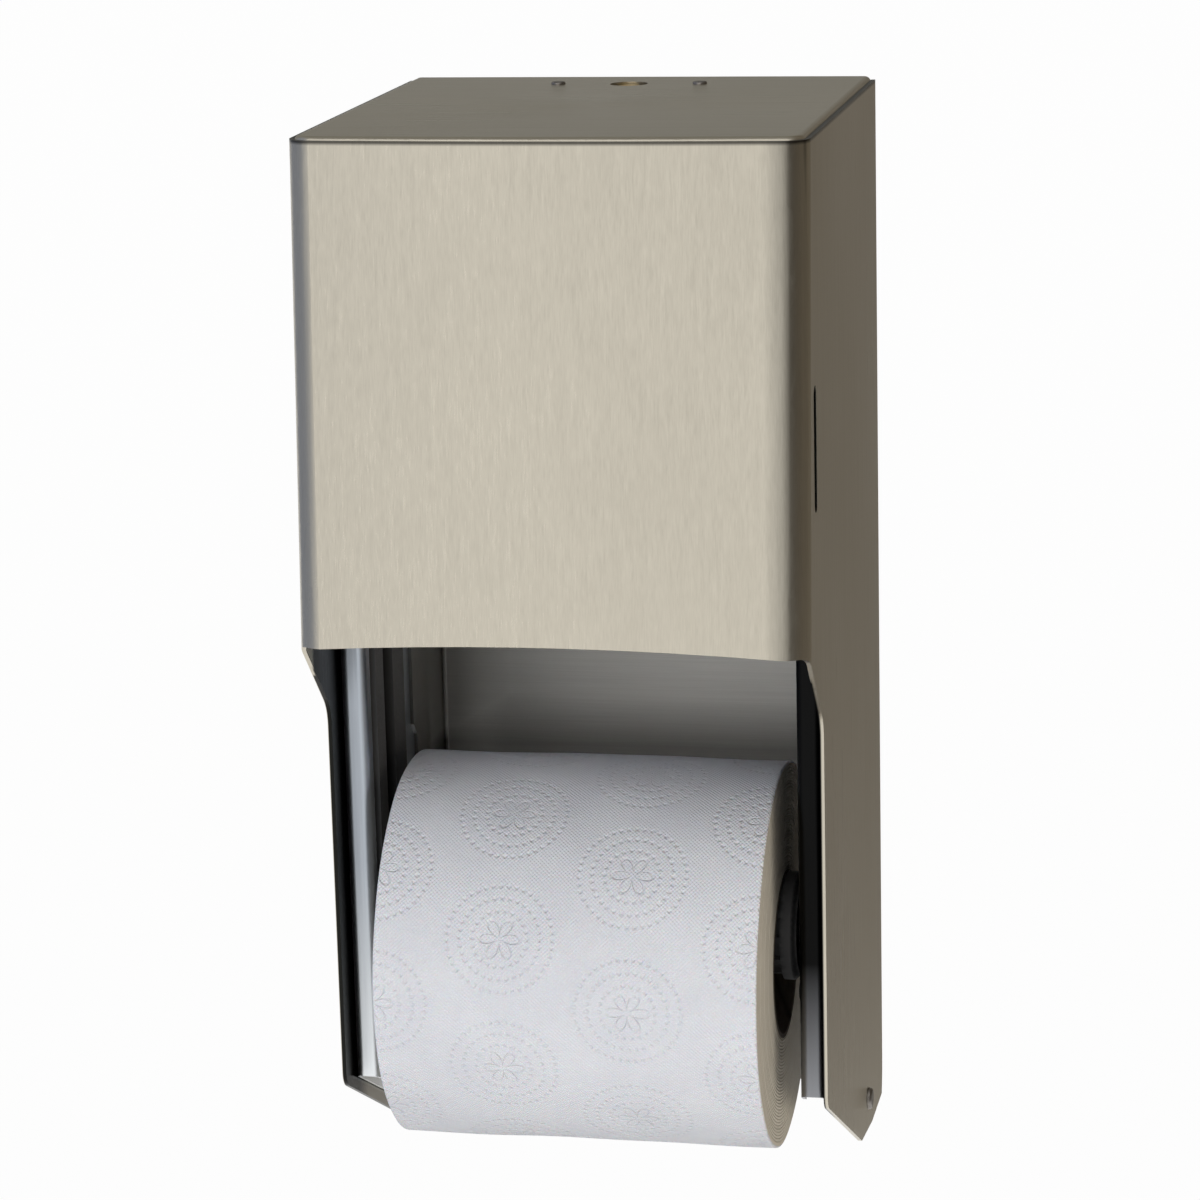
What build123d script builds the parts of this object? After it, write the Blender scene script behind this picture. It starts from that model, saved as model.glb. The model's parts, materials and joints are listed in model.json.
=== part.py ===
from build123d import *
import math
import os

# Two-roll toilet paper dispenser for a wall, in millimetres.
# X runs across, Y runs towards the wall and Z runs up.
# The back of the dispenser lies on Y = 0, and the origin is the middle of its four wall screws.
# Below, a depth is a distance in front of the wall, and a height is counted from the foot of the cover.

# Cover: a wrapped sheet with a separate top pan
CASE_WIDTH = 140.0
CASE_DEPTH = 154.5
TOP_DEPTH = 145.0
CASE_HEIGHT = 316.0
COVER_SHEET = 1.2
FRONT_CROWN = 2.0
FRONT_BEND = 7.0
WALL_GAP = 0.4
WRAP_TOP_STEP = 1.0
WINDOW_HEIGHT = 178.5
WINDOW_ARCH = 2.3
WINDOW_CORNER_SETBACK = 5.5
WINDOW_CORNER_BEND = 7.0
WINDOW_STEP_DROP = 24.8
SIDE_EDGE_OVERHANG = 8.5
LOWER_STEP_BEND = 12.0
FRONT_FOOT_HEIGHT = 42.0
FRONT_FOOT_BEND = 6.0
HEEL_DEPTH = 50.5
HEEL_HEIGHT = 3.2
TOE_DEPTH = 26.0
SIGHT_SLOT_SETBACK = 17.2
SIGHT_SLOT_DROP = 19.4
SIGHT_SLOT_LENGTH = 34.5
SIGHT_SLOT_WIDTH = 5.5
PAN_FLANGE = 14.0
PAN_BEND = 2.0

# Cover hinge
HINGE_DEPTH = 35.5
HINGE_HEIGHT = 11.0
HINGE_PIN_RADIUS = 2.4
HINGE_HOLE_CLEARANCE = 0.06
HINGE_HEAD_RADIUS = 3.3
HINGE_HEAD_HEIGHT = 1.3
HINGE_TAIL_RADIUS = 3.6
HINGE_TAIL_HEIGHT = 1.1
HINGE_END_PLAY = 0.1
HINGE_WASHER_RADIUS = 5.0
WASHER_PLAY = 0.08

# Back plate and side plates
PLATE_SHEET = 1.0
COVER_SIDE_GAP = 0.6
BACK_PLATE_FOOT = 3.0
BACK_PLATE_TOP_GAP = 6.0
EAR_TOP_GAP = 21.0
EAR_FOOT = 4.0
EAR_DEPTH = 40.5
EAR_LOWER_DEPTH = 36.5
EAR_STEP_HEIGHT = 122.0
EAR_STEP_RISE = 4.0
EAR_TAB_DEPTH = 44.0
EAR_TAB_HEIGHT = 24.0
EAR_TAB_SLOPE = 6.0
PLATE_BEND = 2.2
SIDE_PLATE_REAR = 4.0
SIDE_PLATE_TOP_GAP = 32.0
SIDE_PLATE_FOOT = 4.0
SIDE_PLATE_HEEL_DEPTH = 48.0
SIDE_PLATE_HEEL_HEIGHT = 6.5
SIDE_PLATE_FRONT_FOOT = 41.5
FRONT_FLANGE_WIDTH = 7.2
FLANGE_RETURN = 4.5

# Wall screws
SCREW_SPACING_X = 76.0
SCREW_SPACING_Z = 202.0
SCREW_LOW_HEIGHT = 55.0
SCREW_HOLE_RADIUS = 2.75

# Paper rolls
ROLL_RADIUS = 55.7
ROLL_SIDE_PLAY = 0.5
ROLL_FRONT_GAP = 0.22
CORE_RADIUS = 22.9
CORE_WALL = 1.2
LOWER_SPINDLE_HEIGHT = 84.5
RESERVE_TOP_SPACE = 33.65
ROLL_HANG_GAP = 0.35

# Spindles
BARREL_RADIUS = 12.6
BARREL_WALL = 2.0
BARREL_RIB_HEIGHT = 1.4
BARREL_RIB_WIDTH = 1.8
BARREL_RIB_COUNT = 12
END_DISC_RADIUS = 15.5
END_DISC_THICKNESS = 4.5
END_DISC_CHAMFER = 1.6
END_DISC_HOLLOW_DEPTH = 2.0
END_DISC_RIM = 2.4
END_DISC_SPOKES = 6
END_DISC_SPOKE_WIDTH = 2.0
END_PLUG_LENGTH = 12.0
DISC_RAIL_GAP = 1.2
STUB_RADIUS = 5.0
STUB_END_PLAY = 0.9
STUB_CHAMFER = 0.8

# Guide rails
RAIL_THICKNESS = 7.0
RAIL_REAR_REACH = 18.0
RAIL_FRONT_REACH = 14.0
RAIL_FOOT_REACH = 24.5
RAIL_TOP_INSET = 2.0
RAIL_FLANGE_GAP = 3.5
RAIL_CORNER = 4.0
GROOVE_CLEARANCE = 0.3
GROOVE_DEPTH = 5.6
GROOVE_LEAD_IN = 8.0
GROOVE_LEAD_WIDTH = 9.0
RIVET_RADIUS = 1.6
RIVET_HEAD_RADIUS = 3.0
RIVET_HEAD_HEIGHT = 0.8
HEAD_ROUNDING = 0.75
RAIL_RIVET_INSET = 4.3
RAIL_RIVET_COUNT = 3
SIDE_RIVET_COUNT = 3
SIDE_RIVET_DEPTH = 24.0
SIDE_RIVET_LOW = 46.0
SIDE_RIVET_TOP_INSET = 14.0

# Reserve slides
SLIDE_THICKNESS = 3.0
SLIDE_HEIGHT = 6.0
SLIDE_CLEARANCE = 0.3
SLIDE_NOSE_REACH = 9.5
SLIDE_NOSE_CHAMFER = 1.5
SLIDE_COVERED_WALL = 1.5
SLIDE_TAB_GAP = 1.5
SLIDE_TAB_LENGTH = 6.0
SLIDE_TAB_HEIGHT = 18.0
SLIDE_TAB_CORNER = 2.0

# Lock
LOCK_DEPTH = 18.8
LOCK_HOLE_RADIUS = 5.5
LOCK_RIVET_SPACING = 42.0
LOCK_RIVET_RADIUS = 1.5
LOCK_RIVET_HEAD_RADIUS = 2.1
LOCK_RIVET_HEAD_HEIGHT = 0.7
BRACKET_SHEET = 1.2
BRACKET_LENGTH = 52.0
BRACKET_WIDTH = 14.0
BRACKET_DROP = 9.0
BRACKET_SEAT_LENGTH = 24.0
BRACKET_SLOPE = 0.5
BRACKET_CORNER = 2.5
LOCK_BARREL_RADIUS = 3.25
LOCK_BARREL_RECESS = 0.6
LOCK_FLANGE_RADIUS = 4.9
LOCK_FLANGE_HEIGHT = 1.6
LOCK_NECK_RADIUS = 2.6
LOCK_NECK_PLAY = 0.06
LOCK_NECK_LENGTH = 2.0
LOCK_KEYWAY_LENGTH = 4.2
LOCK_KEYWAY_WIDTH = 1.0
LOCK_KEYWAY_DEPTH = 3.0
CAM_SHEET = 1.5
CAM_HUB_RADIUS = 4.6
CAM_SQUARE = 3.4
CAM_WIDTH = 7.0
CAM_HOOK_DROP = 6.0
CAM_SCREW_RADIUS = 1.2
CAM_SCREW_HEAD_RADIUS = 2.8
CAM_SCREW_HEAD_HEIGHT = 1.4
CAM_SCREW_LENGTH = 3.0

# Strike that the cam hooks behind
STRIKE_SHEET = 1.2
STRIKE_WIDTH = 30.0
STRIKE_LEG = 15.0
STRIKE_SHELF_GAP = 5.3
STRIKE_LIP_WIDTH = 14.0
STRIKE_LIP_DEPTH = 11.2
STRIKE_LIP_HEIGHT = 9.0
STRIKE_CAM_GAP = 1.2
STRIKE_RIVET_SPACING = 18.0
STRIKE_RIVET_RISE = 6.5

# Widths worked out from the cover inwards
HALF_WIDTH = CASE_WIDTH / 2
COVER_INSIDE = HALF_WIDTH - COVER_SHEET
SIDE_PLATE_OUTSIDE = COVER_INSIDE - COVER_SIDE_GAP
EAR_OUTSIDE = SIDE_PLATE_OUTSIDE - PLATE_SHEET
EAR_INSIDE = EAR_OUTSIDE - PLATE_SHEET
RAIL_INSIDE = EAR_OUTSIDE - RAIL_THICKNESS
GROOVE_FLOOR = RAIL_INSIDE + GROOVE_DEPTH
DISC_OUTSIDE = RAIL_INSIDE - DISC_RAIL_GAP
STUB_LENGTH = GROOVE_FLOOR - STUB_END_PLAY - DISC_OUTSIDE
BARREL_LENGTH = 2 * (DISC_OUTSIDE - END_DISC_THICKNESS)
ROLL_LENGTH = BARREL_LENGTH - 2 * ROLL_SIDE_PLAY

# Heights worked out from the cover's top
PAN_UNDERSIDE = CASE_HEIGHT - COVER_SHEET
BACK_PLATE_TOP = CASE_HEIGHT - BACK_PLATE_TOP_GAP
EAR_TOP = CASE_HEIGHT - EAR_TOP_GAP
SIDE_PLATE_TOP = CASE_HEIGHT - SIDE_PLATE_TOP_GAP
SIDE_RIVET_SPACING = (SIDE_PLATE_TOP - SIDE_RIVET_TOP_INSET - SIDE_RIVET_LOW) / (SIDE_RIVET_COUNT - 1)
RAIL_TOP_HEIGHT = SIDE_PLATE_TOP - RAIL_TOP_INSET
RAIL_FOOT_HEIGHT = LOWER_SPINDLE_HEIGHT - RAIL_FOOT_REACH
SEAT_TOP = PAN_UNDERSIDE - BRACKET_DROP
SEAT_UNDERSIDE = SEAT_TOP - BRACKET_SHEET
BARREL_TOP = CASE_HEIGHT - LOCK_BARREL_RECESS
CAM_TOP = SEAT_TOP - LOCK_NECK_LENGTH
CAM_UNDERSIDE = CAM_TOP - CAM_SHEET
STRIKE_SHELF_HEIGHT = CAM_UNDERSIDE - CAM_HOOK_DROP - STRIKE_SHELF_GAP
STRIKE_FOOT_HEIGHT = STRIKE_SHELF_HEIGHT - STRIKE_LEG
RIB_OUTSIDE = BARREL_RADIUS + BARREL_RIB_HEIGHT
BARREL_BORE = BARREL_RADIUS - BARREL_WALL
ROLL_DROP = CORE_RADIUS - RIB_OUTSIDE - ROLL_HANG_GAP
RESERVE_ROLL_HEIGHT = PAN_UNDERSIDE - RESERVE_TOP_SPACE - ROLL_RADIUS
UPPER_SPINDLE_HEIGHT = RESERVE_ROLL_HEIGHT + ROLL_DROP
SLIDE_TOP = UPPER_SPINDLE_HEIGHT - STUB_RADIUS - GROOVE_CLEARANCE
SIGHT_SLOT_LOW = UPPER_SPINDLE_HEIGHT - SIGHT_SLOT_DROP
SIGHT_SLOT_MIDDLE = SIGHT_SLOT_LOW + SIGHT_SLOT_LENGTH / 2
LOWER_STEP_HEIGHT = WINDOW_HEIGHT - WINDOW_STEP_DROP
ORIGIN_HEIGHT = SCREW_LOW_HEIGHT + SCREW_SPACING_Z / 2

# Depths worked out from the cover's front, which leans out towards the window
FRONT_LEAN = (CASE_DEPTH - TOP_DEPTH) / (CASE_HEIGHT - WINDOW_HEIGHT)


def front_depth(height):
    """Depth of the cover's front at one height."""
    return TOP_DEPTH + FRONT_LEAN * (CASE_HEIGHT - height)


ROLL_REACH = (ROLL_RADIUS + ROLL_FRONT_GAP) * math.hypot(1, FRONT_LEAN)
SPINDLE_DEPTH = front_depth(RESERVE_ROLL_HEIGHT) - COVER_SHEET - FRONT_CROWN - ROLL_REACH
RAIL_REAR_DEPTH = SPINDLE_DEPTH - RAIL_REAR_REACH
RAIL_FRONT_DEPTH = SPINDLE_DEPTH + RAIL_FRONT_REACH
GROOVE_RADIUS = STUB_RADIUS + GROOVE_CLEARANCE
GROOVE_REAR = SPINDLE_DEPTH - GROOVE_RADIUS
SIDE_PLATE_DEPTH = RAIL_FRONT_DEPTH + RAIL_FLANGE_GAP + FLANGE_RETURN + PLATE_SHEET
LOWER_DEPTH = SIDE_PLATE_DEPTH + SIDE_EDGE_OVERHANG
WINDOW_CORNER_DEPTH = CASE_DEPTH - WINDOW_CORNER_SETBACK
SIGHT_SLOT_DEPTH = front_depth(SIGHT_SLOT_MIDDLE) - SIGHT_SLOT_SETBACK
SLIDE_INSIDE = RAIL_INSIDE + SLIDE_COVERED_WALL + SLIDE_CLEARANCE
LIP_REACH = LOCK_DEPTH - STRIKE_LIP_DEPTH + STRIKE_SHEET
HOOK_INSIDE = math.hypot(STRIKE_LIP_WIDTH / 2, LIP_REACH) + STRIKE_CAM_GAP


def plan_outline(inset, rear, height):
    """Outline of the cover at one height, drawn in by inset, from its crowned front back to rear."""
    half = HALF_WIDTH - inset
    front = -front_depth(height) + inset
    corner = front + FRONT_CROWN
    sides = Polyline((half, corner), (half, rear), (-half, rear), (-half, corner))
    crown = ThreePointArc((-half, corner), (0, front), (half, corner))
    face = make_face([sides, crown])
    front_corners = face.vertices().sort_by(Axis.Y)[:2]
    return Pos(0, 0, height) * fillet(front_corners, FRONT_BEND - inset)


def leaning_block(inset, rear, low, high):
    """Solid between two heights of the cover's outline."""
    return loft([plan_outline(inset, rear, low), plan_outline(inset, rear, high)], ruled=True)


def side_slab(sketch, inner, outer):
    """Slab between two X values, from a sketch of depth and height."""
    plane = Plane(origin=(outer, 0, 0), x_dir=(0, -1, 0), z_dir=(-1, 0, 0))
    return extrude(plane * sketch, amount=outer - inner)


def front_slab(sketch, near, far):
    """Slab between two depths, from a sketch of width and height."""
    plane = Plane(origin=(0, -near, 0), x_dir=(1, 0, 0), z_dir=(0, -1, 0))
    return extrude(plane * sketch, amount=far - near)


def corners_at(sketch, depth, height):
    """Corners of a sketch at one place."""
    spot = Vector(depth, height, 0)
    return [v for v in sketch.vertices() if (Vector(*v) - spot).length < 0.01]


def cross_cylinder(radius, inner, outer, depth, height):
    """Cylinder along X between two X values."""
    place = Pos((inner + outer) / 2, -depth, height) * Rot(0, 90, 0)
    return place * Cylinder(radius, abs(outer - inner))


def upright_cylinder(radius, low, high, x, depth):
    """Cylinder along Z between two heights."""
    return Pos(x, -depth, (low + high) / 2) * Cylinder(radius, high - low)


def inward_cylinder(radius, near, far, x, height):
    """Cylinder along Y between two depths."""
    place = Pos(x, -(near + far) / 2, height) * Rot(90, 0, 0)
    return place * Cylinder(radius, far - near)


def mirrored(shape):
    """The same piece on the other side."""
    return mirror(shape, about=Plane.YZ)


def cover_side_outline():
    """Side view of the cover: deep hood above the window, slanted foot, heel round the hinge."""
    front = max(front_depth(0), TOP_DEPTH) + COVER_SHEET
    top = CASE_HEIGHT - WRAP_TOP_STEP
    outline = make_face(
        Polyline(
            (WALL_GAP, 0),
            (WALL_GAP, top),
            (front, top),
            (front, WINDOW_HEIGHT),
            (WINDOW_CORNER_DEPTH, WINDOW_HEIGHT),
            (LOWER_DEPTH, LOWER_STEP_HEIGHT),
            (LOWER_DEPTH, FRONT_FOOT_HEIGHT),
            (HEEL_DEPTH, HEEL_HEIGHT),
            (TOE_DEPTH, 0),
            close=True,
        )
    )
    outline = fillet(corners_at(outline, WINDOW_CORNER_DEPTH, WINDOW_HEIGHT), WINDOW_CORNER_BEND)
    outline = fillet(corners_at(outline, LOWER_DEPTH, LOWER_STEP_HEIGHT), LOWER_STEP_BEND)
    outline = fillet(corners_at(outline, LOWER_DEPTH, FRONT_FOOT_HEIGHT), FRONT_FOOT_BEND)
    heel_block = Pos(HINGE_DEPTH / 2, HINGE_HEIGHT / 2) * Rectangle(HINGE_DEPTH, HINGE_HEIGHT)
    heel_round = Pos(HINGE_DEPTH, HINGE_HEIGHT) * Circle(HINGE_DEPTH - WALL_GAP)
    return outline - (heel_block - heel_round)


def window_arch():
    """Slab that lifts the middle of the window's upper edge."""
    low = WINDOW_HEIGHT - CASE_WIDTH / 2
    half = HALF_WIDTH - FRONT_BEND
    edge = ThreePointArc(
        (-half, WINDOW_HEIGHT), (0, WINDOW_HEIGHT + WINDOW_ARCH), (half, WINDOW_HEIGHT)
    )
    legs = Polyline((half, WINDOW_HEIGHT), (half, low), (-half, low), (-half, WINDOW_HEIGHT))
    return front_slab(make_face([edge, legs]), LOWER_DEPTH + FRONT_BEND, CASE_DEPTH + COVER_SHEET)


def make_cover_shell():
    """One sheet wrapped round the front and both sides."""
    outside = leaning_block(0, -WALL_GAP, 0, CASE_HEIGHT)
    inside = leaning_block(COVER_SHEET, COVER_SHEET, 0, CASE_HEIGHT)
    shell = (outside - inside) & side_slab(cover_side_outline(), -HALF_WIDTH, HALF_WIDTH)
    shell -= window_arch()
    slot = Pos(SIGHT_SLOT_DEPTH, SIGHT_SLOT_MIDDLE) * Rot(0, 0, 90) * SlotOverall(
        SIGHT_SLOT_LENGTH, SIGHT_SLOT_WIDTH
    )
    shell -= side_slab(slot, -HALF_WIDTH, HALF_WIDTH)
    hole = HINGE_PIN_RADIUS + HINGE_HOLE_CLEARANCE
    return shell - cross_cylinder(hole, -HALF_WIDTH, HALF_WIDTH, HINGE_DEPTH, HINGE_HEIGHT)


def make_top_pan():
    """Shallow pan whose bent-down flanges sit inside the wrapped sheet."""
    low = CASE_HEIGHT - PAN_FLANGE
    blank = leaning_block(COVER_SHEET, -WALL_GAP, low, CASE_HEIGHT)
    rim = [e for e in blank.edges().group_by(Axis.Z)[-1] if e.center().Y < -WALL_GAP - 0.01]
    blank = fillet(rim, PAN_BEND)
    hollow = leaning_block(2 * COVER_SHEET, COVER_SHEET, low, PAN_UNDERSIDE)
    hollow_rim = [e for e in hollow.edges().group_by(Axis.Z)[-1] if e.center().Y < 0]
    pan = blank - fillet(hollow_rim, PAN_BEND - COVER_SHEET)
    pan -= upright_cylinder(LOCK_HOLE_RADIUS, low, CASE_HEIGHT, 0, LOCK_DEPTH)
    for x in lock_rivet_places():
        pan -= upright_cylinder(LOCK_RIVET_RADIUS, low, CASE_HEIGHT, x, LOCK_DEPTH)
    return pan


def lock_rivet_places():
    """X of the two rivets that hold the lock bracket."""
    return (-LOCK_RIVET_SPACING / 2, LOCK_RIVET_SPACING / 2)


def make_lock_bracket():
    """Hat-shaped strip under the pan, whose lowered middle carries the lock barrel."""
    half = BRACKET_LENGTH / 2
    seat = BRACKET_SEAT_LENGTH / 2
    top_bend = seat + BRACKET_DROP * BRACKET_SLOPE
    mitre = BRACKET_SHEET * math.tan(math.atan2(1, BRACKET_SLOPE) / 2)
    upper = PAN_UNDERSIDE
    upper_low = upper - BRACKET_SHEET
    line = Polyline(
        (-half, upper),
        (-top_bend, upper),
        (-seat, SEAT_TOP),
        (seat, SEAT_TOP),
        (top_bend, upper),
        (half, upper),
        (half, upper_low),
        (top_bend + mitre, upper_low),
        (seat + mitre, SEAT_UNDERSIDE),
        (-seat - mitre, SEAT_UNDERSIDE),
        (-top_bend - mitre, upper_low),
        (-half, upper_low),
        close=True,
    )
    near = LOCK_DEPTH - BRACKET_WIDTH / 2
    bracket = front_slab(make_face(line), near, near + BRACKET_WIDTH)
    for x in (-half, half):
        tip = [e for e in bracket.edges().filter_by(Axis.Z) if abs(e.center().X - x) < 0.01]
        bracket = chamfer(tip, BRACKET_CORNER)
    neck = LOCK_NECK_RADIUS + LOCK_NECK_PLAY
    bracket -= upright_cylinder(neck, SEAT_UNDERSIDE, SEAT_TOP, 0, LOCK_DEPTH)
    for x in lock_rivet_places():
        bracket -= upright_cylinder(
            LOCK_RIVET_RADIUS, upper_low, upper, x, LOCK_DEPTH
        )
    return bracket


def make_lock_rivets():
    """Two rivets through the pan and the lock bracket."""
    rivets = []
    tail = PAN_UNDERSIDE - BRACKET_SHEET
    for x in lock_rivet_places():
        shank = upright_cylinder(LOCK_RIVET_RADIUS, tail, CASE_HEIGHT, x, LOCK_DEPTH)
        head = upright_cylinder(
            LOCK_RIVET_HEAD_RADIUS, CASE_HEIGHT, CASE_HEIGHT + LOCK_RIVET_HEAD_HEIGHT, x, LOCK_DEPTH
        )
        head = fillet(head.edges().group_by(Axis.Z)[-1], LOCK_RIVET_HEAD_HEIGHT * HEAD_ROUNDING)
        foot = upright_cylinder(
            LOCK_RIVET_HEAD_RADIUS, tail - LOCK_RIVET_HEAD_HEIGHT, tail, x, LOCK_DEPTH
        )
        rivets.append(shank + head + foot)
    return Compound(rivets)


def make_lock_barrel():
    """Turned barrel with a keyway, a flange on the bracket, a neck and a square for the cam."""
    flange_top = SEAT_TOP + LOCK_FLANGE_HEIGHT
    barrel = upright_cylinder(LOCK_BARREL_RADIUS, flange_top, BARREL_TOP, 0, LOCK_DEPTH)
    barrel = chamfer(barrel.edges().group_by(Axis.Z)[-1], LOCK_BARREL_RECESS / 2)
    barrel += upright_cylinder(LOCK_FLANGE_RADIUS, SEAT_TOP, flange_top, 0, LOCK_DEPTH)
    barrel += upright_cylinder(LOCK_NECK_RADIUS, CAM_TOP, SEAT_TOP, 0, LOCK_DEPTH)
    square = Pos(0, -LOCK_DEPTH, (CAM_UNDERSIDE + CAM_TOP) / 2) * Box(CAM_SQUARE, CAM_SQUARE, CAM_SHEET)
    barrel += square
    keyway = Pos(0, -LOCK_DEPTH, BARREL_TOP - LOCK_KEYWAY_DEPTH / 2) * Box(
        LOCK_KEYWAY_LENGTH, LOCK_KEYWAY_WIDTH, LOCK_KEYWAY_DEPTH
    )
    barrel -= keyway
    return barrel - upright_cylinder(
        CAM_SCREW_RADIUS, CAM_UNDERSIDE, CAM_UNDERSIDE + CAM_SCREW_LENGTH, 0, LOCK_DEPTH
    )


def make_lock_cam():
    """Flat cam with a bent-down hook, shown unlocked: it points to the side."""
    reach = HOOK_INSIDE + CAM_SHEET
    arm = Pos(reach / 2, 0) * Rectangle(reach, CAM_WIDTH) + Circle(CAM_HUB_RADIUS)
    arm -= Rectangle(CAM_SQUARE, CAM_SQUARE)
    cam = Pos(0, -LOCK_DEPTH, CAM_UNDERSIDE) * extrude(arm, amount=CAM_SHEET)
    hook = Pos(reach - CAM_SHEET / 2, -LOCK_DEPTH, CAM_UNDERSIDE - CAM_HOOK_DROP / 2) * Box(
        CAM_SHEET, CAM_WIDTH, CAM_HOOK_DROP
    )
    cam += hook
    outer_bend = [
        e for e in cam.edges().filter_by(Axis.Y)
        if abs(e.center().X - reach) < 0.01 and abs(e.center().Z - CAM_TOP) < 0.01
    ]
    return fillet(outer_bend, CAM_SHEET * HEAD_ROUNDING)


def make_cam_screw():
    """Pan-head screw that holds the cam on the barrel."""
    head_low = CAM_UNDERSIDE - CAM_SCREW_HEAD_HEIGHT
    head = upright_cylinder(CAM_SCREW_HEAD_RADIUS, head_low, CAM_UNDERSIDE, 0, LOCK_DEPTH)
    head = fillet(head.edges().group_by(Axis.Z)[0], CAM_SCREW_HEAD_HEIGHT / 2)
    shank = upright_cylinder(
        CAM_SCREW_RADIUS, CAM_UNDERSIDE, CAM_UNDERSIDE + CAM_SCREW_LENGTH, 0, LOCK_DEPTH
    )
    return head + shank


def make_strike():
    """Bent strip on the back plate, with an upright lip that the cam hooks behind."""
    near = PLATE_SHEET
    leg = Polyline(
        (near, STRIKE_FOOT_HEIGHT),
        (near, STRIKE_SHELF_HEIGHT),
        (STRIKE_LIP_DEPTH, STRIKE_SHELF_HEIGHT),
        (STRIKE_LIP_DEPTH, STRIKE_SHELF_HEIGHT - STRIKE_SHEET),
        (near + STRIKE_SHEET, STRIKE_SHELF_HEIGHT - STRIKE_SHEET),
        (near + STRIKE_SHEET, STRIKE_FOOT_HEIGHT),
        close=True,
    )
    strike = side_slab(make_face(leg), -STRIKE_WIDTH / 2, STRIKE_WIDTH / 2)
    lip_depth = STRIKE_LIP_DEPTH - STRIKE_SHEET / 2
    lip_height = STRIKE_SHELF_HEIGHT + STRIKE_LIP_HEIGHT / 2
    strike += Pos(0, -lip_depth, lip_height) * Box(STRIKE_LIP_WIDTH, STRIKE_SHEET, STRIKE_LIP_HEIGHT)
    for x in strike_rivet_places():
        strike -= inward_cylinder(
            RIVET_RADIUS, near, near + STRIKE_SHEET, x, STRIKE_FOOT_HEIGHT + STRIKE_RIVET_RISE
        )
    return strike


def strike_rivet_places():
    """X of the two rivets of the strike."""
    return (-STRIKE_RIVET_SPACING / 2, STRIKE_RIVET_SPACING / 2)


def make_strike_rivets():
    """Two flush rivets through the strike and the back plate."""
    rivets = []
    height = STRIKE_FOOT_HEIGHT + STRIKE_RIVET_RISE
    front = PLATE_SHEET + STRIKE_SHEET
    for x in strike_rivet_places():
        shank = inward_cylinder(RIVET_RADIUS, 0, front, x, height)
        head = inward_cylinder(RIVET_HEAD_RADIUS, front, front + RIVET_HEAD_HEIGHT, x, height)
        rivets.append(shank + fillet(head.edges().group_by(Axis.Y)[0], RIVET_HEAD_HEIGHT * HEAD_ROUNDING))
    return Compound(rivets)


def make_back_plate():
    """Back panel with a narrow ear bent forward along each side."""
    outer = Pos(0, -EAR_TAB_DEPTH / 2) * Rectangle(2 * EAR_OUTSIDE, EAR_TAB_DEPTH)
    outer = fillet(outer.vertices().sort_by(Axis.Y)[-2:], PLATE_BEND)
    inner = Pos(0, -PLATE_SHEET - EAR_TAB_DEPTH / 2) * Rectangle(2 * EAR_INSIDE, EAR_TAB_DEPTH)
    inner = fillet(inner.vertices().sort_by(Axis.Y)[-2:], PLATE_BEND - PLATE_SHEET)
    channel = extrude(outer - inner, amount=BACK_PLATE_TOP)
    outline = make_face(
        Polyline(
            (0, BACK_PLATE_FOOT),
            (PLATE_BEND, BACK_PLATE_FOOT),
            (PLATE_BEND, EAR_FOOT),
            (EAR_TAB_DEPTH, EAR_FOOT),
            (EAR_TAB_DEPTH, EAR_TAB_HEIGHT),
            (EAR_LOWER_DEPTH, EAR_TAB_HEIGHT + EAR_TAB_SLOPE),
            (EAR_LOWER_DEPTH, EAR_STEP_HEIGHT),
            (EAR_DEPTH, EAR_STEP_HEIGHT + EAR_STEP_RISE),
            (EAR_DEPTH, EAR_TOP),
            (PLATE_BEND, EAR_TOP),
            (PLATE_BEND, BACK_PLATE_TOP),
            (0, BACK_PLATE_TOP),
            close=True,
        )
    )
    outline = fillet(corners_at(outline, EAR_DEPTH, EAR_TOP), PLATE_BEND)
    outline = fillet(corners_at(outline, EAR_TAB_DEPTH, EAR_FOOT), PLATE_BEND)
    plate = channel & side_slab(outline, -EAR_OUTSIDE, EAR_OUTSIDE)
    for x in (-SCREW_SPACING_X / 2, SCREW_SPACING_X / 2):
        for height in (SCREW_LOW_HEIGHT, SCREW_LOW_HEIGHT + SCREW_SPACING_Z):
            plate -= inward_cylinder(SCREW_HOLE_RADIUS, 0, PLATE_SHEET, x, height)
    for x in strike_rivet_places():
        plate -= inward_cylinder(
            RIVET_RADIUS, 0, PLATE_SHEET, x, STRIKE_FOOT_HEIGHT + STRIKE_RIVET_RISE
        )
    for height in side_rivet_heights():
        plate -= cross_cylinder(RIVET_RADIUS, -EAR_OUTSIDE, EAR_OUTSIDE, SIDE_RIVET_DEPTH, height)
    return plate - cross_cylinder(
        HINGE_PIN_RADIUS, -EAR_OUTSIDE, EAR_OUTSIDE, HINGE_DEPTH, HINGE_HEIGHT
    )


def side_rivet_heights():
    """Heights of the rivets between an ear and its side plate."""
    return [SIDE_RIVET_LOW + i * SIDE_RIVET_SPACING for i in range(SIDE_RIVET_COUNT)]


def rail_rivet_places():
    """Depth and height of the rivets of a guide rail."""
    depth = RAIL_FRONT_DEPTH - RAIL_RIVET_INSET
    low = RAIL_FOOT_HEIGHT + 2 * RAIL_RIVET_INSET
    step = (RAIL_TOP_HEIGHT - RAIL_FOOT_HEIGHT - 4 * RAIL_RIVET_INSET) / (RAIL_RIVET_COUNT - 1)
    return [(depth, low + i * step) for i in range(RAIL_RIVET_COUNT)]


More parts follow.
